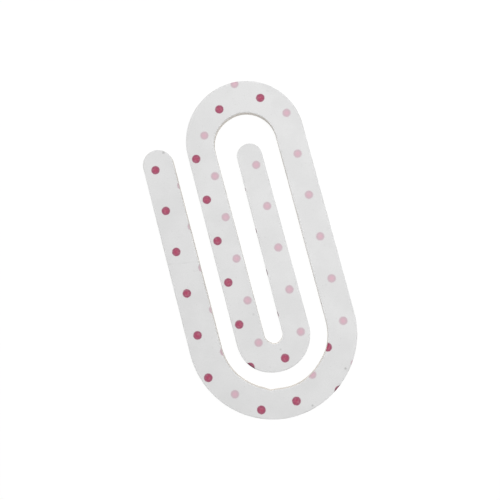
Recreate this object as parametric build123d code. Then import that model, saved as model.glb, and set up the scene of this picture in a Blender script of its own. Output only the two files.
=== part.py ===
from build123d import *
import os

# A flat paper clip of the double-loop pattern, die-cut from board that is lined with paper on both sides.
# It lies on its back, face up. Its legs run along Y, its upper bend is towards +Y, and the origin is under
# the middle of its outline. All lengths are millimetres.
# The strip starts at the tip of the tail, runs down the tail, round the lower bend, up the outer leg, round
# the upper bend, down the inner leg, round the inner bend and up the tongue.

# Widths of the strip and of the gaps, in their order across the clip from left to right
tail_width = 8.8
tail_gap = 4.45
inner_leg_width = 7.95
slot_width = 5.1
tongue_base_width = 7.55
tongue_gap = 4.85
outer_leg_width = 8.05

# The tail, the tongue and the inner leg narrow a little towards their upper ends
tail_tip_width = 8.6
tongue_tip_width = 7.1
inner_leg_top_width = 7.75

# Lengths along the clip
leg_length = 53.2  # outer leg, from the centre of the lower bend to the centre of the upper bend
tail_length = 58.2  # from the centre of the lower bend to the tail's tip
bend_gap = 4.65  # between the inner bend and the lower bend, at their lowest points
eye_height = 9.05  # free height between the tongue's tip and the inside of the upper bend
crown_rise = 1.05  # the outside of the upper bend starts its curve this much above the inside's
lower_drop = 0.5  # the inside of the lower bend starts its curve this much below the outside's
bend_root = 1.0  # straight stretch at each end of a bend, before its curve starts

# A shallow nick inside the lower bend, where the two ends of the cutting rule meet
nick_depth = 0.35
nick_place_share = 0.6  # along the inside of the bend, from the outer leg's end
nick_width_share = 0.09

# Plies of the board, from the back to the face
liner_thickness = 0.1
core_thickness = 1.8
face_thickness = 0.1

# Edges of the strip across the clip
strips_width = tail_width + inner_leg_width + tongue_base_width + outer_leg_width
gaps_width = tail_gap + slot_width + tongue_gap
clip_width = strips_width + gaps_width
tail_left = -clip_width / 2
tail_right = tail_left + tail_width
inner_leg_left = tail_right + tail_gap
inner_leg_right = inner_leg_left + inner_leg_width
inner_leg_top_right = inner_leg_left + inner_leg_top_width
tongue_left = inner_leg_right + slot_width
tongue_right = tongue_left + tongue_base_width
outer_leg_left = tongue_right + tongue_gap
outer_leg_right = outer_leg_left + outer_leg_width

# Radii of the bends' outer and inner curves
lower_outer_radius = clip_width / 2
lower_inner_radius = (outer_leg_left - tail_right) / 2
upper_outer_radius = (outer_leg_right - inner_leg_left) / 2
upper_inner_radius = (outer_leg_left - inner_leg_top_right) / 2
inner_outer_radius = (tongue_right - inner_leg_left) / 2

# Heights along the clip: the centres of the bends, and the two free tips
clip_length = lower_outer_radius + leg_length + crown_rise + upper_outer_radius
lower_centre = lower_outer_radius - clip_length / 2
upper_centre = lower_centre + leg_length
inner_centre = lower_centre - lower_drop - lower_inner_radius + bend_gap + inner_outer_radius
tail_top = lower_centre + tail_length
tongue_top = upper_centre + upper_inner_radius - eye_height

# Where each bend ends and its legs begin
lower_root = lower_centre + bend_root
upper_root = upper_centre - bend_root
inner_root = inner_centre + bend_root


def leg_profile(left, right, top_right, low, high):
    """A straight leg between two bends. Its right side may lean."""
    corners = [(left, low), (right, low), (top_right, high), (left, high)]
    return Face(Wire.make_polygon(corners))


def free_end_profile(left, right, base, top, tip_width):
    """A leg with a free end: it tapers from its base to a full round tip."""
    middle = (left + right) / 2
    tip_radius = tip_width / 2
    shoulder = top - tip_radius
    right_side = Line((right, base), (middle + tip_radius, shoulder))
    tip = ThreePointArc(right_side @ 1, (middle, top), (middle - tip_radius, shoulder))
    left_side = Line(tip @ 1, (left, base))
    foot = Line(left_side @ 1, right_side @ 0)
    return Face(Wire([right_side, tip, left_side, foot]))


def nicked(curve, centre):
    """The same curve round a centre, with the shallow nick in it."""
    before = nick_place_share - nick_width_share / 2
    after = nick_place_share + nick_width_share / 2
    place = curve @ nick_place_share
    tip = place + (place - Vector(*centre)).normalized() * nick_depth
    down = Line(curve @ before, tip)
    up = Line(tip, curve @ after)
    return [curve.trim(0, before), down, up, curve.trim(after, 1)]


def bend_profile(outer_left, inner_left, inner_right, outer_right, centre, outer_rise, inner_rise, way):
    """A half ring of strip that joins two legs. It closes upwards where way is 1, and downwards where it is -1.
    Its outer and its inner curve start past the bend's centre by their rises."""
    root = centre - way * bend_root
    outer_start = centre + way * outer_rise
    inner_start = centre + way * inner_rise
    inner_reach = (inner_right - inner_left) / 2
    outer_reach = (outer_right - outer_left) / 2
    inner_middle = ((inner_left + inner_right) / 2, inner_start)
    inner_crown = (inner_middle[0], inner_start + way * inner_reach)
    outer_crown = ((outer_left + outer_right) / 2, outer_start + way * outer_reach)
    outer_side = Line((outer_left, root), (outer_left, outer_start))
    outer_curve = ThreePointArc(outer_side @ 1, outer_crown, (outer_right, outer_start))
    far_side = Line(outer_curve @ 1, (outer_right, root))
    far_foot = Line(far_side @ 1, (inner_right, root))
    far_inside = Line(far_foot @ 1, (inner_right, inner_start))
    inner_curve = ThreePointArc(far_inside @ 1, inner_crown, (inner_left, inner_start))
    inside = Line(inner_curve @ 1, (inner_left, root))
    foot = Line(inside @ 1, outer_side @ 0)
    inner_edges = nicked(inner_curve, inner_middle) if inner_rise else [inner_curve]
    return Face(Wire([outer_side, outer_curve, far_side, far_foot, far_inside, *inner_edges, inside, foot]))


UP, DOWN = 1, -1
NO_RISE = 0

# The strip's stretches, in their order along it
stretches = {
    "tail": free_end_profile(tail_left, tail_right, lower_root, tail_top, tail_tip_width),
    "lower_bend": bend_profile(
        tail_left, tail_right, outer_leg_left, outer_leg_right, lower_centre, NO_RISE, lower_drop, DOWN
    ),
    "outer_leg": leg_profile(outer_leg_left, outer_leg_right, outer_leg_right, lower_root, upper_root),
    "upper_bend": bend_profile(
        inner_leg_left, inner_leg_top_right, outer_leg_left, outer_leg_right, upper_centre, crown_rise, NO_RISE, UP
    ),
    "inner_leg": leg_profile(inner_leg_left, inner_leg_right, inner_leg_top_right, inner_root, upper_root),
    "inner_bend": bend_profile(
        inner_leg_left, inner_leg_right, tongue_left, tongue_right, inner_centre, NO_RISE, NO_RISE, DOWN
    ),
    "tongue": free_end_profile(tongue_left, tongue_right, inner_root, tongue_top, tongue_tip_width),
}

# The plies, each on top of the one before: the height of its underside, and its thickness
core_bottom = liner_thickness
face_bottom = core_bottom + core_thickness
plies = {
    "liner": (0, liner_thickness),
    "core": (core_bottom, core_thickness),
    "face": (face_bottom, face_thickness),
}

# Every stretch has its three plies, cut to the same profile
os.makedirs("parts", exist_ok=True)
for stretch, profile in stretches.items():
    for ply, (bottom, thickness) in plies.items():
        sheet = extrude(Pos(0, 0, bottom) * profile, thickness, dir=(0, 0, 1))
        export_step(sheet, f"parts/{stretch}_{ply}.step")

print(f"clip {clip_length:.2f} x {clip_width:.2f} x {face_bottom + face_thickness:.2f} mm")
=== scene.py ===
# %% [markdown]
# # A dotted paper clip, cut from lined board
# The clip in the photograph isn't bent from wire. It is a flat strip of board, cut out with a steel rule
# in the double-loop pattern of a paper clip, with a printed sheet glued on its face and a plain one on
# its back. The imported CAD model holds its sizes and the places where it flexes, so it is loaded first,
# and every piece below is made where that model says. Its box is kept.

# %% Load the imported clip
import math
from functools import partial

import bpy
from mathutils import Matrix, Vector


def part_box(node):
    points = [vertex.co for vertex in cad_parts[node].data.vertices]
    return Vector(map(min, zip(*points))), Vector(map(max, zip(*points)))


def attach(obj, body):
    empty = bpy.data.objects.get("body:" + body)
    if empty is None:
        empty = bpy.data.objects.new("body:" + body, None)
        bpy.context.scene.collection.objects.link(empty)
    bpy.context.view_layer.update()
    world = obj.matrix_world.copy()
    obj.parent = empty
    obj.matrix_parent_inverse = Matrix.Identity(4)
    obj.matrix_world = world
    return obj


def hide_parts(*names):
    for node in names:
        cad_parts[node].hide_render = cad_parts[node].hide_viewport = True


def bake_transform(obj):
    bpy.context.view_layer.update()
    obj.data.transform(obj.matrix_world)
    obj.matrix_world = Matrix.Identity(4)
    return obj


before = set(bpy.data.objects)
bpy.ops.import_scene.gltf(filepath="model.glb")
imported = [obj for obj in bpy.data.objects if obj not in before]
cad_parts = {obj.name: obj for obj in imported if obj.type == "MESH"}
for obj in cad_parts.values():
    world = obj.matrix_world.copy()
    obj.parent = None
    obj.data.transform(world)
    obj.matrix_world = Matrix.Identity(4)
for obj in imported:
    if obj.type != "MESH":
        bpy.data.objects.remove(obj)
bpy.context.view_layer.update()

MM = 0.001


# %% [markdown]
# # The camera
# The printed dots make a square lattice, so their places in the photograph give the camera away: it
# stands almost straight above the clip, a little to the lower right, and the clip leans to the left in
# the frame. A camera can be turned by angles, or aimed from one point at another. Aiming is easier to
# read, so its place and its aim are written down, with the lean as one angle about the line of sight.

# %% Stand the camera over the clip
camera_place = Vector((5.43, -8.22, 139.95)) * MM
camera_aim = Vector((0.085, -0.034, 2.0)) * MM
camera_lean = math.radians(14.775)
camera_lens = 35.766

sight = (camera_aim - camera_place).normalized()
level_right = sight.cross(Vector((0, 1, 0))).normalized()
level_up = level_right.cross(sight)
camera_up = level_up * math.cos(camera_lean) + level_right * math.sin(camera_lean)
camera_right = sight.cross(camera_up)
camera_turn = Matrix((camera_right, camera_up, -sight)).transposed()

camera_data = bpy.data.cameras.new("photo_camera")
camera_data.lens = camera_lens
camera_data.sensor_width = 36
camera_data.clip_start = 0.005
camera_data.clip_end = 20
camera = bpy.data.objects.new("photo_camera", camera_data)
camera.matrix_world = Matrix.Translation(camera_place) @ camera_turn.to_4x4()
bpy.context.scene.collection.objects.link(camera)
bpy.context.scene.camera = camera
print(f"camera {(camera_aim - camera_place).length / MM:.1f} mm from the clip, lens {camera_lens} mm")

# %% [markdown]
# # Node trees in a few words
# Materials and Geometry Nodes are both trees of nodes. One helper adds a node, fills in its sockets and
# links what is handed over as a socket, so that the trees below read almost like formulas.

# %% Helpers for node trees
def put(tree, kind, values=None, **settings):
    """Adds a node. Values are by socket name or number, and a socket among them is linked."""
    made = tree.nodes.new(kind)
    for setting, value in settings.items():
        setattr(made, setting, value)
    for name, value in (values or {}).items():
        if isinstance(value, bpy.types.NodeSocket):
            tree.links.new(value, made.inputs[name])
        else:
            made.inputs[name].default_value = value
    return made


def reckon(tree, operation, *terms):
    """One step of arithmetic with numbers."""
    return put(tree, "ShaderNodeMath", dict(enumerate(terms)), operation=operation).outputs[0]


def reckon_vector(tree, operation, *terms):
    """One step of arithmetic with vectors."""
    made = put(tree, "ShaderNodeVectorMath", dict(enumerate(terms)), operation=operation)
    single = operation in ("LENGTH", "DISTANCE", "DOT_PRODUCT")
    return made.outputs["Value" if single else "Vector"]


def ease(tree, value, start, end, low=0.0, high=1.0):
    """Goes smoothly from low to high while the value goes from start to end."""
    ends = {"Value": value, "From Min": start, "From Max": end, "To Min": low, "To Max": high}
    return put(tree, "ShaderNodeMapRange", ends, interpolation_type="SMOOTHSTEP").outputs["Result"]


print("helpers:", ", ".join(helper.__name__ for helper in (put, reckon, reckon_vector, ease)))

# %% [markdown]
# # A white ground
# The photograph has a plain white ground. The floor is a sheet of white paper, lit a little from below as
# on a light table, which brightens the cut walls from underneath, and it gets the clip's soft shadow.
# A floor lit until it turns pure white would need so much light that the clip's pale face would burn
# out too. So the camera and mirror-like surfaces see most of the floor, and all of the world behind it,
# as plain white, while the lamps stay at a level at which a colour renders about as it is written.

# %% White floor
floor_reach = 1.5
floor_drop = -0.02 * MM
floor_plan = [(-1, -1), (1, -1), (1, 1), (-1, 1)]
floor_corners = [(x * floor_reach, y * floor_reach, floor_drop) for x, y in floor_plan]
floor_mesh = bpy.data.meshes.new("white_floor")
floor_mesh.from_pydata(floor_corners, [], [(0, 1, 2, 3)])
floor = bpy.data.objects.new("white_floor", floor_mesh)
bpy.context.scene.collection.objects.link(floor)
print("floor", 2 * floor_reach, "m wide")

# %% What is seen as plain white
WHITE = (1, 1, 1, 1)


def seen_directly(tree):
    """1 for the camera and for mirror-like or clear surfaces, 0 for light that is scattered."""
    rays = put(tree, "ShaderNodeLightPath").outputs
    seen = reckon(tree, "MAXIMUM", rays["Is Camera Ray"], rays["Is Glossy Ray"])
    return reckon(tree, "MAXIMUM", seen, rays["Is Transmission Ray"])


print("plain white is", WHITE[:3], "for camera, glossy and transmission rays")

# %% Floor finish: white, with the shadow kept close to the clip
sheet_tone = (0.95, 0.95, 0.95, 1)
floor_glow = 0.51
shadow_share = 0.10  # how much of the lit sheet shows near the clip
shadow_near, shadow_far = 0.08, 0.30  # metres from the clip's middle, between which the shadow fades
open_floor = 1.18  # the lit sheet's level where nothing shades it
floor_white = (1 - shadow_share * open_floor) / (1 - shadow_share)  # so that both together come to 1 there

floor_finish = bpy.data.materials.new("white_ground")
floor_finish.use_nodes = True
tree = floor_finish.node_tree
tree.nodes.clear()
away = reckon_vector(tree, "LENGTH", put(tree, "ShaderNodeTexCoord").outputs["Object"])
plain_share = ease(tree, away, shadow_near, shadow_far, 1 - shadow_share, 1.0)
plain_level = ease(tree, away, shadow_near, shadow_far, floor_white, 1.0)
sheet = put(tree, "ShaderNodeBsdfDiffuse", {"Color": sheet_tone}).outputs[0]
shine_through = put(tree, "ShaderNodeEmission", {"Color": WHITE, "Strength": floor_glow}).outputs[0]
lit_sheet = put(tree, "ShaderNodeAddShader", {0: sheet, 1: shine_through}).outputs[0]
plain_white = put(tree, "ShaderNodeEmission", {"Color": WHITE, "Strength": plain_level}).outputs[0]
plain_seen = reckon(tree, "MULTIPLY", seen_directly(tree), plain_share)
ground = put(tree, "ShaderNodeMixShader", {0: plain_seen, 1: lit_sheet, 2: plain_white}).outputs[0]
put(tree, "ShaderNodeOutputMaterial", {"Surface": ground})
floor_mesh.materials.append(floor_finish)
print("shadow share", shadow_share, "and glow", floor_glow)

# %% [markdown]
# # Soft light
# One lamp stands high on the right and a wider one low beyond the upper bend, because in the photograph
# the strip is lightest there, and the cut wall inside the upper bend, which faces away from it, is dark.
# Small lamps would draw hard shadows, so both are wide. The world fills in the rest evenly.

# %% Even fill from the world
fill_strength = 0.38
world = bpy.data.worlds.new("white_room")
bpy.context.scene.world = world
world.use_nodes = True
tree = world.node_tree
tree.nodes.clear()
fill = put(tree, "ShaderNodeBackground", {"Color": WHITE, "Strength": fill_strength}).outputs[0]
backdrop = put(tree, "ShaderNodeBackground", {"Color": WHITE, "Strength": 1.0}).outputs[0]
room = put(tree, "ShaderNodeMixShader", {0: seen_directly(tree), 1: fill, 2: backdrop}).outputs[0]
put(tree, "ShaderNodeOutputWorld", {"Surface": room})
bpy.context.scene.view_settings.view_transform = "Standard"
print("fill strength", fill_strength)

# %% Two wide lamps
def wide_lamp(name, bearing, height, distance, width, power):
    """A round lamp that is aimed at the clip. Its bearing is from +X, and both angles are in degrees."""
    turn, lift = math.radians(bearing), math.radians(height)
    flat = math.cos(lift)
    place = Vector((flat * math.cos(turn), flat * math.sin(turn), math.sin(lift))) * distance
    light = bpy.data.lights.new(name, "AREA")
    light.shape = "DISK"
    light.size = width
    light.energy = power
    lamp = bpy.data.objects.new(name, light)
    lamp.matrix_world = Matrix.Translation(place) @ (-place).to_track_quat("-Z", "Y").to_matrix().to_4x4()
    bpy.context.scene.collection.objects.link(lamp)
    print(f"{name}: {width} m wide, {distance} m away, {power} W")


wide_lamp("high_lamp", bearing=0, height=68, distance=0.30, width=0.12, power=0.368)
wide_lamp("low_lamp", bearing=100, height=28, distance=0.80, width=0.40, power=2.64)

# %% [markdown]
# # The outline, read from the CAD
# The strip starts at the tip of the tail, runs down, turns round the lower bend, goes up the outer leg,
# over the upper bend, down the inner leg, round the small inner bend and up the tongue. Copying all its
# coordinates here would make two drawings that could drift apart. So the legs' edges are read from the
# boxes of the CAD's cores, and only what a box can't tell is repeated: where the curves start, and how
# wide a leg is at its upper end.

# %% Edges and heights in millimetres
def reach(node):
    """Left, right, low and high edge of a CAD node, in millimetres."""
    low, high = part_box(node)
    return low.x / MM, high.x / MM, low.y / MM, high.y / MM


tail_left, tail_right, lower_root, tail_top = reach("tail_core")
inner_leg_left, inner_leg_right, inner_root, upper_root = reach("inner_leg_core")
tongue_left, tongue_right, _, tongue_top = reach("tongue_core")
outer_leg_left, outer_leg_right, _, _ = reach("outer_leg_core")

bend_root = 1.0
crown_rise = 1.05
lower_drop = 0.5
tail_tip_width = 8.6
tongue_tip_width = 7.1
inner_leg_top_width = 7.75
lower_centre = lower_root - bend_root
upper_centre = upper_root + bend_root
inner_centre = inner_root - bend_root
inner_leg_top_right = inner_leg_left + inner_leg_top_width
print(f"tail {tail_right - tail_left:.2f} wide, outer leg {outer_leg_right - outer_leg_left:.2f},",
      f"slot {tongue_left - inner_leg_right:.2f}")

# %% [markdown]
# # Rungs along the strip
# The strip's width changes a little all the way, as it does on the real one, so a plain sweep of one
# profile along a line wouldn't follow both edges. A ladder does: each rung goes from the left edge of the
# strip to its right edge, and the rungs stand close together in the bends. A round tip is a ladder too,
# whose rungs shorten to nothing. Each function below gives the rungs of one kind of stretch.

# %% Rungs of legs and tips
LEG_STEP = 2.0
TIP_STEP = 6.0
HAIR = 1e-6  # keeps a whole number of steps from being rounded up


def steps(start, end, size):
    """Even steps from start to end, both included, no longer than size."""
    count = max(1, math.ceil(abs(end - start) / size - HAIR))
    return [start + (end - start) * k / count for k in range(count + 1)]


def leg_rungs(left_low, left_high, right_low, right_high, low, high):
    """A leg that may taper, from its low end to its high end."""
    made = []
    for y in steps(low, high, LEG_STEP):
        share = (y - low) / (high - low)
        left = left_low + (left_high - left_low) * share
        right = right_low + (right_high - right_low) * share
        made.append(((left, y), (right, y)))
    return made


def tip_rungs(middle, shoulder, radius):
    """A round tip, from its shoulder to its top."""
    made = []
    for degrees in steps(0, 90, TIP_STEP)[1:]:
        half = radius * math.cos(math.radians(degrees)) if degrees < 90 else 0.0
        y = shoulder + radius * math.sin(math.radians(degrees))
        made.append(((middle - half, y), (middle + half, y)))
    return made


def free_end_rungs(left, right, root, top, tip_width, tip_stray=0.0):
    """A leg that narrows towards its round tip, whose middle may stray sideways a little."""
    middle, radius = (left + right) / 2 + tip_stray, tip_width / 2
    shoulder = top - radius
    made = leg_rungs(left, middle - radius, right, middle + radius, root, shoulder)
    return made + tip_rungs(middle, shoulder, radius)


print("rungs at most", LEG_STEP, "mm apart in the legs and", TIP_STEP, "degrees apart in the tips")

# %% Rungs of bends
BEND_STEP = 2.5
UPPER_HALF, LOWER_HALF = (0, 180), (180, 360)


def around(centre, radius, degrees):
    """A point on a circle."""
    turn = math.radians(degrees)
    return centre[0] + radius * math.cos(turn), centre[1] + radius * math.sin(turn)


def wander(marks, degrees):
    """How far the cut strays outwards at a turn, eased between marks of turn and millimetres."""
    for (turn, stray), (next_turn, next_stray) in zip(marks, marks[1:]):
        if turn <= degrees <= next_turn:
            share = 0.5 - 0.5 * math.cos(math.pi * (degrees - turn) / (next_turn - turn))
            return stray + (next_stray - stray) * share
    return 0.0


def bend_rungs(inner, outer, half, inner_marks, outer_marks, inside=around, extra=()):
    """Half a ring, its inner edge to the left of the way round. Inner and outer are centre and radius."""
    made = []
    for turn in sorted(set(steps(*half, BEND_STEP)) | set(extra)):
        inner_radius = inner[1] + wander(inner_marks, turn)
        outer_radius = outer[1] + wander(outer_marks, turn)
        made.append((inside(inner[0], inner_radius, turn), around(outer[0], outer_radius, turn)))
    return made


def middle_and_radius(left, right, height):
    """Centre and radius of a half circle between two edges."""
    return ((left + right) / 2, height), (right - left) / 2


print("rungs at most", BEND_STEP, "degrees apart in the bends")

# %% [markdown]
# # The nick inside the lower bend
# The photograph shows a shallow nick inside the lower bend. A cutting rule is a strip of steel bent to
# the outline, and the nick is probably where its two ends meet. It could be carved out of the finished
# mesh, but a change to the rungs is simpler and leaves clean faces: near the nick, the circle gives way
# to two straight lines.

# %% A circle with the nick in it
nick_depth = 0.35
nick_turn = 252.0
nick_half_turn = 8.1
nick_turns = (nick_turn - nick_half_turn, nick_turn, nick_turn + nick_half_turn)


def around_with_nick(centre, radius, degrees):
    """A point on a circle that has the shallow nick in it: two straight lines to its deepest point."""
    away = abs(degrees - nick_turn) / nick_half_turn
    if away >= 1:
        return around(centre, radius, degrees)
    side = nick_turns[0] if degrees < nick_turn else nick_turns[2]
    shoulder, bottom = around(centre, radius, side), around(centre, radius + nick_depth, nick_turn)
    return tuple(b + (s - b) * away for s, b in zip(shoulder, bottom))


lower_inside = middle_and_radius(tail_right, outer_leg_left, lower_centre - lower_drop)
nick_length = 2 * math.radians(nick_half_turn) * lower_inside[1]
print(f"nick {nick_depth} mm deep and {nick_length:.1f} mm long")

# %% [markdown]
# # A cut that strays a little
# Held against true arcs, the bends in the photograph are out by a tenth or two of a millimetre, as if the
# rule had been bent by hand. Perfect arcs look drawn by a machine. A few marks along each edge, with smooth
# easing from one to the next, give the same gentle unevenness, and the legs between them stay straight.

# %% Marks of the straying: turn in degrees, and millimetres outwards
lower_inside_strays = [
    (180, 0), (208, 0.04), (225, -0.05), (244, 0), (280, 0.04), (310, -0.15), (340, 0.04), (360, 0),
]
lower_outside_strays = [(180, 0), (245, 0.04), (312, -0.17), (350, 0)]
upper_inside_strays = [(0, 0), (40, -0.04), (75, -0.04), (108, -0.17), (165, 0.02), (180, 0)]
upper_outside_strays = [(0, 0), (72, 0.10), (145, -0.04), (180, 0)]
slot_end_strays = [(180, 0), (225, -0.17), (265, 0.02), (300, -0.05), (360, 0)]
inner_outside_strays = [(180, 0), (218, 0.25), (270, -0.11), (320, -0.08), (360, 0)]
tail_tip_stray = -0.06
print("the widest stray is", max(abs(stray) for _, stray in inner_outside_strays), "mm")

# %% Rungs of the tail and the tongue
tail_rungs = free_end_rungs(tail_left, tail_right, lower_root, tail_top, tail_tip_width, tail_tip_stray)
tongue_rungs = free_end_rungs(tongue_left, tongue_right, inner_root, tongue_top, tongue_tip_width)
print("tail:", len(tail_rungs), "rungs, tongue:", len(tongue_rungs))

# %% Rungs of the outer loop
lower_outside = middle_and_radius(tail_left, outer_leg_right, lower_centre)
upper_inside = middle_and_radius(inner_leg_top_right, outer_leg_left, upper_centre)
upper_outside = middle_and_radius(inner_leg_left, outer_leg_right, upper_centre + crown_rise)
outer_rungs = [((tail_right, lower_root), (tail_left, lower_root))]
outer_rungs += bend_rungs(
    lower_inside, lower_outside, LOWER_HALF, lower_inside_strays, lower_outside_strays,
    inside=around_with_nick, extra=nick_turns,
)
outer_rungs += leg_rungs(
    outer_leg_left, outer_leg_left, outer_leg_right, outer_leg_right, lower_root, upper_root
)
outer_rungs += bend_rungs(upper_inside, upper_outside, UPPER_HALF, upper_inside_strays, upper_outside_strays)
outer_rungs += [((inner_leg_top_right, upper_root), (inner_leg_left, upper_root))]
print("outer loop:", len(outer_rungs), "rungs")

# %% Rungs of the inner loop, and all four runs
slot_end = middle_and_radius(inner_leg_right, tongue_left, inner_centre)
inner_outside = middle_and_radius(inner_leg_left, tongue_right, inner_centre)
inner_rungs = leg_rungs(
    inner_leg_left, inner_leg_left, inner_leg_right, inner_leg_top_right, inner_root, upper_root
)
inner_rungs = [(right, left) for left, right in reversed(inner_rungs)]
inner_rungs += bend_rungs(slot_end, inner_outside, LOWER_HALF, slot_end_strays, inner_outside_strays)
inner_rungs += [((tongue_left, inner_root), (tongue_right, inner_root))]
runs = {"tail": tail_rungs, "outer_loop": outer_rungs, "inner_loop": inner_rungs, "tongue": tongue_rungs}
print("inner loop:", len(inner_rungs), "rungs, and", len(runs), "runs in all")

# %% [markdown]
# # One tree for every ply
# All three plies of the board follow the same rule: a grid laid over the ladder, lifted to its height,
# with an upper side, an underside and a cut wall between. Geometry Nodes suit that, because the rule is
# written once and its sizes are inputs. The tree is built here step by step. It lays the grid, rolls the
# cut edge, closes the skin and roughens the wall, and it leaves the ends where two runs meet sharp, so
# that no seam shows.

# %% Inputs of the ply tree
ply_tree = bpy.data.node_groups.new("ply_along_the_strip", "GeometryNodeTree")
ply_node = partial(put, ply_tree)
ply_math = partial(reckon, ply_tree)
ply_vector = partial(reckon_vector, ply_tree)
input_kinds = {
    "Ladder": "Geometry", "Columns": "Int", "Underside": "Float", "Upper Side": "Float",
    "Roll Width": "Float", "Roll Depth": "Float", "Underside Rolls": "Float", "Wall Rows": "Int",
    "Fray Depth": "Float", "Seed": "Float", "Finish": "Material",
}
ply_inputs = {}
for name, kind in input_kinds.items():
    ply_inputs[name] = ply_tree.interface.new_socket(name, in_out="INPUT", socket_type=f"NodeSocket{kind}")
ply_tree.interface.new_socket("Ply", in_out="OUTPUT", socket_type="NodeSocketGeometry")
given = ply_node("NodeGroupInput").outputs
print("inputs:", list(ply_inputs))

# %% Notes on points
def note(mesh, name, value, data_type="FLOAT", chosen=None):
    """Notes a value on all points of a mesh, or on the chosen ones."""
    values = {"Geometry": mesh, "Name": name, "Value": value}
    if chosen is not None:
        values["Selection"] = chosen
    return ply_node("GeometryNodeStoreNamedAttribute", values, data_type=data_type).outputs[0]


def noted(name, data_type="FLOAT"):
    """Reads such a note back."""
    return ply_node("GeometryNodeInputNamedAttribute", {"Name": name}, data_type=data_type).outputs[0]


def scaled(vector, factor):
    """A vector times a number."""
    return ply_node("ShaderNodeVectorMath", {0: vector, "Scale": factor}, operation="SCALE").outputs[0]


print("a note is an attribute with a name, and later nodes and materials can read it")

# %% Lay a grid over the ladder
HALF_RUNG = "half_rung"
ALONG = "along"
WELD = 1e-7
rung_count = ply_node("GeometryNodeAttributeDomainSize", {"Geometry": given["Ladder"]}).outputs["Point Count"]
grid = ply_node("GeometryNodeMeshGrid", {"Vertices X": given["Columns"], "Vertices Y": rung_count}).outputs
grid_place = ply_node("ShaderNodeSeparateXYZ", {0: grid["UV Map"]}).outputs
last_row = ply_math("SUBTRACT", rung_count, 1.0)
row = ply_math("ROUND", ply_math("MULTIPLY", grid_place["Y"], last_row))
from_middle = ply_math("SUBTRACT", grid_place["X"], 0.5)
across = ply_math("SINE", ply_math("MULTIPLY", from_middle, math.pi))
place = ply_node("GeometryNodeInputPosition").outputs[0]


def of_rung(value):
    """A value of the rung that a row of the grid lies on."""
    values = {"Geometry": given["Ladder"], "Value": value, "Index": row}
    return ply_node("GeometryNodeSampleIndex", values, data_type="FLOAT_VECTOR").outputs[0]


to_side = scaled(of_rung(noted(HALF_RUNG, "FLOAT_VECTOR")), across)
on_ladder = ply_vector("ADD", of_rung(place), to_side)
laid = ply_node("GeometryNodeSetPosition", {"Geometry": grid["Mesh"], "Position": on_ladder}).outputs[0]
laid = note(laid, ALONG, grid_place["Y"])
plan = ply_node("GeometryNodeMergeByDistance", {"Geometry": laid, "Distance": WELD}).outputs[0]
print("columns crowd towards both edges, where the roll is")

# %% [markdown]
# # The rolled edge
# A steel rule presses the board's upper edge down a little before it cuts through, so the real edge is
# softly rolled. A Bevel modifier would round every edge alike, also where two runs of the strip meet. So
# the tree picks out the cut edges, measures each point's distance from them, and turns that into a drop.

# %% Distance from the cut edge, and the roll
SEAM = 0.0001  # the share of a run that counts as its end
edge_faces = ply_node("GeometryNodeInputMeshEdgeNeighbors").outputs["Face Count"]
open_edge = ply_math("COMPARE", edge_faces, 1.0, 0.1)
along = noted(ALONG)
past_start = ply_math("GREATER_THAN", along, SEAM)
before_end = ply_math("LESS_THAN", along, 1 - SEAM)
between_seams = ply_math("MULTIPLY", past_start, before_end)
on_cut = ply_math("MULTIPLY", open_edge, between_seams)
cut_edge = ply_node(
    "GeometryNodeSeparateGeometry", {"Geometry": plan, "Selection": on_cut}, domain="EDGE"
).outputs[0]
nearest_cut = ply_node("GeometryNodeProximity", {"Geometry": cut_edge}, target_element="EDGES").outputs
from_edge = nearest_cut["Distance"]
inwards = ply_math("MINIMUM", ply_math("DIVIDE", from_edge, given["Roll Width"]), 1.0)
lean = ply_math("SUBTRACT", 1.0, inwards)
level_part = ply_math("SQRT", ply_math("SUBTRACT", 1.0, ply_math("MULTIPLY", lean, lean)))
roll = ply_math("MULTIPLY", ply_math("SUBTRACT", 1.0, level_part), given["Roll Depth"])
print("the roll is a quarter of an ellipse")

# %% [markdown]
# # A closed skin
# A ply is thin, but it has an underside, a wall and an upper side, and a good mesh is closed. A Solidify
# modifier would make the wall one face high, too coarse for board that is to fray. Here the wall grows
# from the underside's open edge, row by row, in a Repeat zone. Then every point is lifted to its height.

# %% Underside, wall rows and upper side
LEVEL = "level"  # how high in the ply a point is, from 0 to 1
underside = note(ply_node("GeometryNodeFlipFaces", {"Mesh": plan}).outputs[0], LEVEL, 0.0)
repeat_start = ply_node("GeometryNodeRepeatInput")
repeat_end = ply_node("GeometryNodeRepeatOutput")
repeat_start.pair_with_output(repeat_end)
ply_tree.links.new(given["Wall Rows"], repeat_start.inputs["Iterations"])
ply_tree.links.new(underside, repeat_start.inputs["Geometry"])
grown = ply_node("GeometryNodeExtrudeMesh", {
    "Mesh": repeat_start.outputs["Geometry"], "Selection": open_edge, "Offset Scale": 0.0,
}, mode="EDGES").outputs
rows_done = ply_math("ADD", repeat_start.outputs["Iteration"], 1.0)
row_level = ply_math("DIVIDE", rows_done, given["Wall Rows"])
row_added = note(grown["Mesh"], LEVEL, row_level, chosen=grown["Top"])
ply_tree.links.new(row_added, repeat_end.inputs["Geometry"])
joined = ply_node("GeometryNodeJoinGeometry")
ply_tree.links.new(repeat_end.outputs["Geometry"], joined.inputs[0])
ply_tree.links.new(note(plan, LEVEL, 1.0), joined.inputs[0])
print("the wall grows row by row from the underside's open edge")

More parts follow.
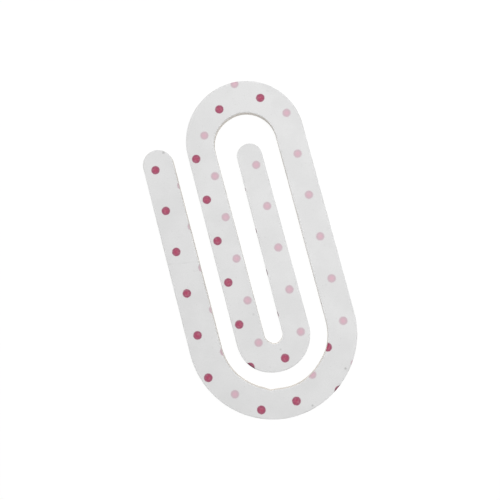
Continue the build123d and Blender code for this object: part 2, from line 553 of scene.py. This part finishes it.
# %% Lift each point to its height
EDGE = "from_edge"  # millimetres from the cut edge
measured = note(joined.outputs[0], EDGE, ply_math("DIVIDE", from_edge, MM))
level = noted(LEVEL)
underside_roll = ply_math("MULTIPLY", roll, given["Underside Rolls"])
low = ply_math("SUBTRACT", given["Underside"], underside_roll)
high = ply_math("SUBTRACT", given["Upper Side"], roll)
lift = ply_math("ADD", low, ply_math("MULTIPLY", level, ply_math("SUBTRACT", high, low)))
upwards = ply_node("ShaderNodeCombineXYZ", {"Z": lift}).outputs[0]
lifted = ply_node("GeometryNodeSetPosition", {"Geometry": measured, "Offset": upwards}).outputs[0]
closed = ply_node("GeometryNodeMergeByDistance", {"Geometry": lifted, "Distance": WELD}).outputs[0]
print("underside, wall and upper side are welded into one closed skin")

# %% [markdown]
# # The frayed wall
# The board's fibres part unevenly under the rule, so its wall is slightly torn. Bump alone would leave the
# wall's outline smooth, so the fray is in the mesh: noise draws the wall's points inwards along their
# normals, most of all halfway up, and not at all at the top and the foot, where the next ply begins.

# %% Frayed wall
FRAY_GRAIN = (1.3, 1.3, 4.5)  # turns per millimetre: fibres lie flat, so the grain is finest in height
HALFWAY_TO_ONE = 4.0  # level times what is above it comes to a quarter halfway up


def cloudy(tree, place, scale, detail=3.0, stretch=(1, 1, 1), seed=0.0):
    """Noise from 0 to 1 at a place in millimetres, with its scale in turns per millimetre."""
    spread = reckon_vector(tree, "MULTIPLY", place, stretch)
    values = {"Vector": spread, "W": seed, "Scale": scale, "Detail": detail}
    return put(tree, "ShaderNodeTexNoise", values, noise_dimensions="4D").outputs["Fac"]


in_mm = ply_vector("MULTIPLY", place, (1 / MM, 1 / MM, 1 / MM))
fibres = cloudy(ply_tree, in_mm, scale=1.0, stretch=FRAY_GRAIN, seed=given["Seed"])
hump = ply_math("MULTIPLY", level, ply_math("SUBTRACT", 1.0, level))
on_wall = ply_math("MULTIPLY", ply_math("MULTIPLY", hump, HALFWAY_TO_ONE), between_seams)
depth = ply_math("MULTIPLY", ply_math("MULTIPLY", fibres, given["Fray Depth"]), on_wall)
outwards = ply_node("GeometryNodeInputNormal").outputs["Normal"]
inset = scaled(outwards, ply_math("MULTIPLY", depth, -1.0))
frayed = ply_node("GeometryNodeSetPosition", {"Geometry": closed, "Offset": inset}).outputs[0]
print("the fray goes inwards only")

# %% [markdown]
# # Where a pattern sits on paper
# The clip flexes, and a print must flex with it. Object coordinates stay put in space, so a dot would slide
# over the paper when a leg lifts. The tree therefore writes each point's place at rest, in millimetres,
# into the attribute `rest_place`, and every material below reads that instead. Then the tree ends.

# %% Rest places, shading and the end of the tree
REST = "rest_place"
SHARP = math.radians(50)
placed = note(frayed, REST, in_mm, "FLOAT_VECTOR")
smooth = ply_node(
    "GeometryNodeSetShadeSmooth", {"Geometry": placed, "Shade Smooth": True}, domain="FACE"
).outputs[0]
fold = ply_node("GeometryNodeInputMeshEdgeAngle").outputs["Unsigned Angle"]
creased = ply_node("GeometryNodeSetShadeSmooth", {
    "Geometry": smooth, "Selection": ply_math("GREATER_THAN", fold, SHARP), "Shade Smooth": False,
}, domain="EDGE").outputs[0]
for spare in (ALONG, LEVEL):
    creased = ply_node("GeometryNodeRemoveAttribute", {"Geometry": creased, "Name": spare}).outputs[0]
whole = ply_node("GeometryNodeRealizeInstances", {"Geometry": creased}).outputs[0]
finished = ply_node("GeometryNodeSetMaterial", {"Geometry": whole, "Material": given["Finish"]}).outputs[0]
ply_node("NodeGroupOutput", {"Ply": finished})
print("the tree has", len(ply_tree.nodes), "nodes")

# %% Helpers for the finishes
def new_finish(name):
    """A new material with its shader, and each point's rest place."""
    finish = bpy.data.materials.new(name)
    finish.use_nodes = True
    tree = finish.node_tree
    tree.nodes.clear()
    shader = put(tree, "ShaderNodeBsdfPrincipled")
    put(tree, "ShaderNodeOutputMaterial", {"Surface": shader.outputs[0]})
    rest = put(tree, "ShaderNodeAttribute", attribute_name=REST, attribute_type="GEOMETRY").outputs["Vector"]
    return finish, tree, shader, rest


def relief(tree, shader, height, depth):
    """Bump of a depth in millimetres on a shader."""
    bump = put(tree, "ShaderNodeBump", {"Height": height, "Strength": 1.0, "Distance": depth * MM})
    tree.links.new(bump.outputs[0], shader.inputs["Normal"])


print("materials read", REST)

# %% [markdown]
# # The printed sheet: dots on a lattice
# The print is two square lattices of round dots, 12 mm apart: deep pink ones, and pale ones in the
# middle of their squares. Along a line down the inner leg its repeat jumps, though no seam shows there, and
# right of that line the print sits 2.1 mm further left. Modelling each dot would be slow and its edge too
# hard. Instead the tree folds the whole plane into one square of the lattice, and asks how far a point is
# from its middle. A little noise in that distance makes the dots waver, as printed dots do.

# %% Fold the plane into the lattice
printed_sheet, tree, shader, rest = new_finish("printed_sheet")
dot_pitch = 12.0
first_dot = (-20.065, 28.7575, 0)
jump_column = 1.16  # where the repeat jumps, in columns of dots from the first one
jump_share = 0.1745  # of the pitch
deep_origin, pale_origin = (0, 0), (0.501, 0.511)  # in pitches from the first dot
dot_waver = 0.16
SQUARE_MIDDLE = 0.5


def swing(tree, noise, reach):
    """Noise as a swing to both sides of zero, with its whole reach from side to side."""
    return reckon(tree, "MULTIPLY", reckon(tree, "SUBTRACT", noise, 0.5), reach)


from_first = reckon_vector(tree, "SUBTRACT", rest, first_dot)
lattice = reckon_vector(tree, "MULTIPLY", from_first, (1 / dot_pitch, -1 / dot_pitch, 0))
column = put(tree, "ShaderNodeSeparateXYZ", {0: lattice}).outputs["X"]
shift = reckon(tree, "MULTIPLY", reckon(tree, "GREATER_THAN", column, jump_column), jump_share)
lattice = reckon_vector(tree, "ADD", lattice, put(tree, "ShaderNodeCombineXYZ", {"X": shift}).outputs[0])
waver = swing(tree, cloudy(tree, rest, scale=2.2, seed=1.0), dot_waver)
print(f"dots {dot_pitch} mm apart, the repeat jumps by {jump_share * dot_pitch:.1f} mm")

# %% Distance from the nearest dot
def from_dot(origin):
    """Distance in millimetres from the nearest dot of the lattice with that origin."""
    corner = (origin[0] - SQUARE_MIDDLE, origin[1] - SQUARE_MIDDLE, 0)
    in_square = reckon_vector(tree, "FRACTION", reckon_vector(tree, "SUBTRACT", lattice, corner))
    folded = reckon_vector(tree, "SUBTRACT", in_square, (SQUARE_MIDDLE, SQUARE_MIDDLE, 0))
    flat = reckon_vector(tree, "MULTIPLY", folded, (dot_pitch, dot_pitch, 0))
    return reckon(tree, "ADD", reckon_vector(tree, "LENGTH", flat), waver)


deep_distance = from_dot(deep_origin)
pale_distance = from_dot(pale_origin)
print("deep dots start at", deep_origin, "and pale ones at", pale_origin)

# %% [markdown]
# # Colours from a screen
# The colours below were judged on a screen, where values from 0 to 255 are not proportional to light.
# Blender works with light, so `paint` undoes the standard screen curve. Mixing is then done in light too,
# as it happens where ink thins out on paper.

# %% Helpers for colours
def paint(red, green, blue):
    """A screen colour as light values."""
    def light(value):
        share = value / 255
        return share / 12.92 if share <= 0.04045 else ((share + 0.055) / 1.055) ** 2.4
    return (light(red), light(green), light(blue), 1.0)


def mix_paint(tree, share, first, second):
    """From the first colour to the second, by the share."""
    made = put(tree, "ShaderNodeMix", data_type="RGBA")
    for socket, value in zip([s for s in made.inputs if s.enabled], (share, first, second)):
        if isinstance(value, bpy.types.NodeSocket):
            tree.links.new(value, socket)
        else:
            socket.default_value = value
    return [s for s in made.outputs if s.enabled][0]


print("a pale grey of 230 in light values:", [round(c, 3) for c in paint(230, 230, 230)])

# %% [markdown]
# # White paper, its flecks and specks
# White paper isn't one white. It is cloudy where the pulp is thicker, it has a fine grain, and after some
# handling it has flecks and a few specks. Clouds, grain and flecks are noise of three sizes. The specks
# that stand out are listed one by one, each a small spot whose rim is made ragged by the grain.

# %% Paper with its clouds and grain
paper_light, paper_cloud, paper_fibre = paint(232, 232, 232), paint(227, 227, 227), paint(219, 219, 219)
cloud = ease(tree, cloudy(tree, rest, scale=0.16, detail=4.0, seed=2.0), 0.35, 0.65)
paper = mix_paint(tree, cloud, paper_light, paper_cloud)
grain = cloudy(tree, rest, scale=5.0, detail=2.0, seed=3.0)
paper = mix_paint(tree, ease(tree, grain, 0.42, 0.68, low=0.0, high=0.5), paper, paper_fibre)
print("clouds about 6 mm wide and a grain of a fifth of a millimetre")

# %% Flecks and specks
# also the grey of the painted shade along the crease
speck_and_shade_grey = paint(120, 120, 116)
fleck_darkness = 0.10
speck_rim, speck_core = 1.3, 0.4  # times the radius
speck_raggedness = 0.7
specks = {  # place in millimetres, radius, darkness
    "by the outer curve": (17.03, -38.01, 0.34, 0.42),
    "low on the lower bend": (5.75, -45.45, 0.32, 0.36),
    "under the slot": (1.22, -28.67, 0.32, 0.20),
    "on the inner leg": (-3.53, -17.55, 0.38, 0.16),
    "bruise at the tail's tip": (-16.60, 33.05, 0.42, 0.36),
}
flecks = ease(tree, cloudy(tree, rest, scale=1.7, detail=1.0, seed=4.0), 0.70, 0.76)
dirt_and_crease_shade = reckon(tree, "MULTIPLY", flecks, fleck_darkness)
flat = reckon_vector(tree, "MULTIPLY", rest, (1, 1, 0))
ragged_rim = swing(tree, grain, speck_raggedness)
for x, y, radius, darkness in specks.values():
    away = reckon(tree, "ADD", reckon_vector(tree, "DISTANCE", flat, (x, y, 0)), ragged_rim)
    spot = ease(tree, away, radius * speck_rim, radius * speck_core, low=0.0, high=darkness)
    dirt_and_crease_shade = reckon(tree, "MAXIMUM", dirt_and_crease_shade, spot)
print(len(specks), "specks")

# %% [markdown]
# # A faint crease across the tail, and the shade painted along it
# A thin grey line crosses the tail, as if it had been bent a little once. A crease could be modelled, but
# it is far thinner than a face of the mesh. So the tree measures how far a point is from a straight line,
# and noise breaks the line up, as a crease comes and goes. The grey of the line is painted shade, standing
# in for the shade in the crease's groove. The paper's relief below takes the crease up as well.

# %% Crease, and the shade painted along it
crease_start, crease_end = Vector((-23.4, 1.95, 0)), Vector((-14.6, 0.40, 0))
crease_half_width, crease_core = 0.32, 0.05
# painted shade: how dark the crease line is painted
crease_shade_darkness = 0.09
past_tail = 0.5  # millimetres past the crease's end, still left of the next leg
crease_line = (crease_end - crease_start).normalized()
crease_across = (-crease_line.y, crease_line.x, 0)
from_start = reckon_vector(tree, "SUBTRACT", rest, tuple(crease_start))
off_crease = reckon(tree, "ABSOLUTE", reckon_vector(tree, "DOT_PRODUCT", from_start, crease_across))
near_crease = ease(tree, off_crease, crease_half_width, crease_core)
rightwards = put(tree, "ShaderNodeSeparateXYZ", {0: rest}).outputs["X"]
on_tail = reckon(tree, "LESS_THAN", rightwards, crease_end.x + past_tail)
broken = ease(tree, cloudy(tree, rest, scale=0.35, seed=5.0), 0.42, 0.62, low=0.15, high=1.0)
crease = reckon(tree, "MULTIPLY", reckon(tree, "MULTIPLY", near_crease, on_tail), broken)
# painted shade along the crease, joined with the flecks and specks
dirt_and_crease_shade = reckon(tree, "MAXIMUM", dirt_and_crease_shade, reckon(tree, "MULTIPLY", crease, crease_shade_darkness))
paper = mix_paint(tree, dirt_and_crease_shade, paper, speck_and_shade_grey)
print("crease", round((crease_end - crease_start).length, 1), "mm long")

# %% [markdown]
# # Wear along the cut edge
# Handling rubs the white off a cut edge in places and bares the grey fibre. The ply tree has written each
# point's distance from the cut into the attribute `from_edge`, so the wear can follow the outline exactly,
# and slow noise leaves it in patches.

# %% Wear
fibre_grey = paint(176, 172, 166)
wear_reach = 0.34
wear_share = 0.35
edge = put(tree, "ShaderNodeAttribute", attribute_name=EDGE, attribute_type="GEOMETRY").outputs["Fac"]
at_edge = ease(tree, edge, wear_reach, 0.0)
patches = ease(tree, cloudy(tree, rest, scale=0.35, detail=5.0, seed=8.0), 0.50, 0.66)
wear = reckon(tree, "MULTIPLY", at_edge, patches)
paper = mix_paint(tree, reckon(tree, "MULTIPLY", wear, wear_share), paper, fibre_grey)
print("wear reaches", wear_reach, "mm in from the edge")

# %% [markdown]
# # Ink on the paper
# Each dot is a bit greyer at its rim, and its outline is fibrous, because ink creeps along the paper's
# fibres. Where the cut goes through a dot, the photograph shows it wider and darker at the edge, more in
# some places than in others. The dot is widened there, as if the rule had dragged the ink, and darkened
# with painted shade of the cut edge. All of this is done with distances: noise added to the distance from
# a dot frays its rim, and the distance from the edge widens it and lays on the painted shade.

# %% Ink at the cut edge, and painted shade there
ink_drag = 0.34
# painted shade of the cut edge: the colour that ink near it darkens towards
edge_shade_colour = paint(76, 28, 50)
edge_shade_reach, edge_shade_full = 0.50, 0.10
unevenly = ease(tree, cloudy(tree, rest, scale=0.30, seed=529.0), 0.44, 0.56, low=0.1, high=1.0)
drag = reckon(tree, "MULTIPLY", reckon(tree, "MULTIPLY", at_edge, unevenly), ink_drag)
deep_drag = reckon(tree, "SUBTRACT", deep_distance, drag)
# painted shade: how strongly ink near the cut edge is darkened, unevenly along it
shaded = reckon(tree, "MULTIPLY", ease(tree, edge, edge_shade_reach, edge_shade_full), unevenly)
print("ink is pressed darker up to", edge_shade_reach, "mm from the edge")

# %% Pale dots, then deep ones
# darkening: how much of the painted shade at the cut edge each ink takes
inks = {
    "pale": {
        "distance": pale_distance, "radius": 1.15, "softness": 0.22, "bleed": 0.50, "darkening": 0.12,
        "middle": paint(221, 182, 195), "rim": paint(209, 184, 193),
    },
    "deep": {
        "distance": deep_drag, "radius": 1.20, "softness": 0.14, "bleed": 0.45, "darkening": 0.90,
        "middle": paint(179, 73, 104), "rim": paint(163, 80, 107),
    },
}
rim_start, rim_full = 0.30, 0.90
ink_body = ease(tree, cloudy(tree, rest, scale=1.5, detail=4.0, seed=6.0), 0.25, 0.60, low=0.86, high=1.0)
fibre_noise = cloudy(tree, rest, scale=6.0, seed=10.0)
colour = paper
for name, dot in inks.items():
    rimmed = ease(tree, dot["distance"], rim_start, rim_full)
    ink = mix_paint(tree, rimmed, dot["middle"], dot["rim"])
    # painted shade at the cut edge darkens the ink
    ink = mix_paint(tree, reckon(tree, "MULTIPLY", shaded, dot["darkening"]), ink, edge_shade_colour)
    ragged = reckon(tree, "ADD", dot["distance"], swing(tree, fibre_noise, dot["bleed"]))
    cover = ease(tree, ragged, dot["radius"] + dot["softness"], dot["radius"] - dot["softness"])
    colour = mix_paint(tree, reckon(tree, "MULTIPLY", cover, ink_body), colour, ink)
    print(f"{name} dots {2 * dot['radius']:.2f} mm wide")
tree.links.new(colour, shader.inputs["Base Color"])

# %% [markdown]
# # Sheen and relief of the printed sheet
# Printed paper has a weak, patchy sheen, and it isn't quite flat. Both are finer than the mesh, so they
# belong in the material: noise varies the roughness, and a bump of two hundredths of a millimetre raises
# the grain and sinks the crease and the worn edge.

# %% Sheen and relief
grain_height, wear_dip = 0.5, 0.8
paper_relief = 0.02
shine = ease(tree, cloudy(tree, rest, scale=0.35, detail=4.0, seed=7.0), 0.3, 0.7, low=0.56, high=0.66)
tree.links.new(shine, shader.inputs["Roughness"])
shader.inputs["Specular IOR Level"].default_value = 0.25
peel = cloudy(tree, rest, scale=1.1, detail=2.0, seed=9.0)
raised = reckon(tree, "ADD", reckon(tree, "MULTIPLY", grain, grain_height), peel)
sunk = reckon(tree, "ADD", crease, reckon(tree, "MULTIPLY", wear, wear_dip))
relief(tree, shader, reckon(tree, "SUBTRACT", raised, sunk), paper_relief)
print("printed sheet:", len(tree.nodes), "nodes")

# %% [markdown]
# # The board's cut wall
# Inside the upper bend the cut wall shows: a warm pale grey, a little streaky. Grey board is pressed from
# thin layers of pulp, so its wall has faint lines along the strip with fibres torn across them. Noise that
# is stretched in the plane and squeezed in height gives both, as colour and as relief.

# %% Grey board finish
grey_board, tree, shader, rest = new_finish("grey_board")
board_pale, board_warm, board_dark = paint(208, 204, 199), paint(198, 193, 187), paint(163, 155, 148)
layer_height = 0.6
board_relief = 0.05
layers = cloudy(tree, rest, scale=1.0, detail=5.0, stretch=(0.22, 0.22, 6.0), seed=11.0)
torn = cloudy(tree, rest, scale=4.5, detail=4.0, stretch=(1.0, 1.0, 1.4), seed=12.0)
board = mix_paint(tree, ease(tree, layers, 0.35, 0.65), board_pale, board_warm)
board = mix_paint(tree, ease(tree, torn, 0.54, 0.76, low=0.0, high=0.50), board, board_dark)
tree.links.new(board, shader.inputs["Base Color"])
shader.inputs["Roughness"].default_value = 0.92
shader.inputs["Specular IOR Level"].default_value = 0.15
streaks = reckon(tree, "ADD", reckon(tree, "MULTIPLY", layers, layer_height), torn)
relief(tree, shader, streaks, board_relief)
print("grey board:", len(tree.nodes), "nodes")

# %% [markdown]
# # The plain back
# The photograph doesn't show the back. Board that is lined on its face is lined on its back too, or it
# would warp, so a plain uncoated sheet is there: a touch warmer and duller than the face, with longer
# fibres and soft clouds where the pulp is thicker.

# %% Backing finish
plain_backing, tree, shader, rest = new_finish("plain_backing")
back_pale, back_cloud, back_fibre = paint(229, 227, 222), paint(221, 218, 211), paint(196, 190, 180)
back_relief = 0.015
clouds = cloudy(tree, rest, scale=0.22, detail=5.0, seed=21.0)
threads = cloudy(tree, rest, scale=1.4, detail=2.0, stretch=(0.5, 2.6, 1.0), seed=22.0)
back = mix_paint(tree, ease(tree, clouds, 0.35, 0.65), back_pale, back_cloud)
back = mix_paint(tree, ease(tree, threads, 0.66, 0.80, low=0.0, high=0.35), back, back_fibre)
tree.links.new(back, shader.inputs["Base Color"])
shader.inputs["Roughness"].default_value = 0.85
shader.inputs["Specular IOR Level"].default_value = 0.2
relief(tree, shader, cloudy(tree, rest, scale=4.0, detail=3.0, seed=23.0), back_relief)
print("backing:", len(tree.nodes), "nodes")

# %% [markdown]
# # Make the twelve pieces
# Four runs of the strip move on their own: the tail, the outer loop, the inner loop and the tongue. Each
# has three plies. A ladder of one run becomes a mesh of points with their half rungs, the tree's inputs
# are set by their identifiers, and the result is turned into a plain mesh, because the modifier must be
# gone before a piece is told what it rides on.

# %% The plies, from the back to the face
liner_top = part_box("tail_liner")[1].z
core_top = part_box("tail_core")[1].z
face_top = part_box("tail_face")[1].z
roll_width, roll_depth = 0.18 * MM, 0.06 * MM
fray_depth = 0.12 * MM
plies = {
    "backing": {
        "node": "liner", "slot": "white_liner", "Finish": plain_backing,
        "Underside": 0.0, "Upper Side": liner_top, "Wall Rows": 1, "Fray Depth": 0.0,
        "Roll Width": roll_width, "Roll Depth": 0.0, "Underside Rolls": 0.0,
    },
    "board": {
        "node": "core", "slot": "grey_board", "Finish": grey_board,
        "Underside": liner_top, "Upper Side": core_top, "Wall Rows": 8, "Fray Depth": fray_depth,
        "Roll Width": roll_width, "Roll Depth": roll_depth, "Underside Rolls": 0.0,
    },
    "printed_sheet": {
        "node": "face", "slot": "printed_face", "Finish": printed_sheet,
        "Underside": core_top, "Upper Side": face_top, "Wall Rows": 1, "Fray Depth": 0.0,
        "Roll Width": roll_width, "Roll Depth": roll_depth, "Underside Rolls": 1.0,
    },
}
print(f"face at {face_top / MM:.2f} mm, its edge rolled down by {roll_depth / MM:.2f} mm")

# %% A ladder as a line of points
def ladder_object(name, rungs):
    """A line of points in the middles of the rungs, each with its half rung."""
    mesh = bpy.data.meshes.new(name)
    middles = [((a[0] + b[0]) / 2 * MM, (a[1] + b[1]) / 2 * MM, 0) for a, b in rungs]
    halves = [((b[0] - a[0]) / 2 * MM, (b[1] - a[1]) / 2 * MM, 0) for a, b in rungs]
    mesh.from_pydata(middles, [(k, k + 1) for k in range(len(rungs) - 1)], [])
    attribute = mesh.attributes.new(HALF_RUNG, "FLOAT_VECTOR", "POINT")
    attribute.data.foreach_set("vector", [c for half in halves for c in half])
    made = bpy.data.objects.new(name, mesh)
    bpy.context.scene.collection.objects.link(made)
    return made


print("the longest ladder has", max(len(rungs) for rungs in runs.values()), "points")

# %% From ladder to plain mesh
COLUMNS = 24


def make_ply(run, ply, seed):
    """One ply of one run, as a plain mesh."""
    sizes = plies[ply]
    ladder = ladder_object(f"{run}_{ply}_ladder", runs[run])
    modifier = ladder.modifiers.new("ply", "NODES")
    modifier.node_group = ply_tree
    for name, socket in ply_inputs.items():
        if name in sizes:
            modifier[socket.identifier] = sizes[name]
    modifier[ply_inputs["Columns"].identifier] = COLUMNS
    modifier[ply_inputs["Seed"].identifier] = float(seed)
    evaluated = ladder.evaluated_get(bpy.context.evaluated_depsgraph_get())
    mesh = bpy.data.meshes.new_from_object(evaluated)
    ladder.modifiers.remove(modifier)
    bpy.data.objects.remove(ladder)
    mesh.name = f"{run}_{ply}"
    piece = bpy.data.objects.new(f"{run}_{ply}", mesh)
    bpy.context.scene.collection.objects.link(piece)
    return piece


pieces = {}
for run_number, run in enumerate(runs):
    for ply in plies:
        pieces[run, ply] = make_ply(run, ply, run_number)
        mesh = pieces[run, ply].data
        print(f"{run}_{ply}: {len(mesh.polygons)} faces, {len(mesh.materials)} material")

# %% [markdown]
# # What each piece rides on
# The outer loop is the clip's base, and its pieces ride on a body of their own. The other runs grow from
# another run at a root, as the table below says. Real board bends over a stretch rather than at a stiff
# hinge line, but these pieces are only fixed in place here. Every piece hides the CAD stretches it covers.

# %% Ride, and where the other runs grow from
stretches = {
    "tail": ["tail"], "outer_loop": ["lower_bend", "outer_leg", "upper_bend"],
    "inner_loop": ["inner_leg", "inner_bend"], "tongue": ["tongue"],
}
flexing = {  # the body it grows from, the height of its root, and the way it runs from there
    "tail": ("outer_loop", lower_root, 1),
    "inner_loop": ("outer_loop", upper_root, -1),
    "tongue": ("inner_loop", inner_root, 1),
}
for (run, ply), piece in pieces.items():
    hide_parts(*[f"{stretch}_{plies[ply]['node']}" for stretch in stretches[run]])
    if run in flexing:
        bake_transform(piece)
    else:
        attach(piece, run)
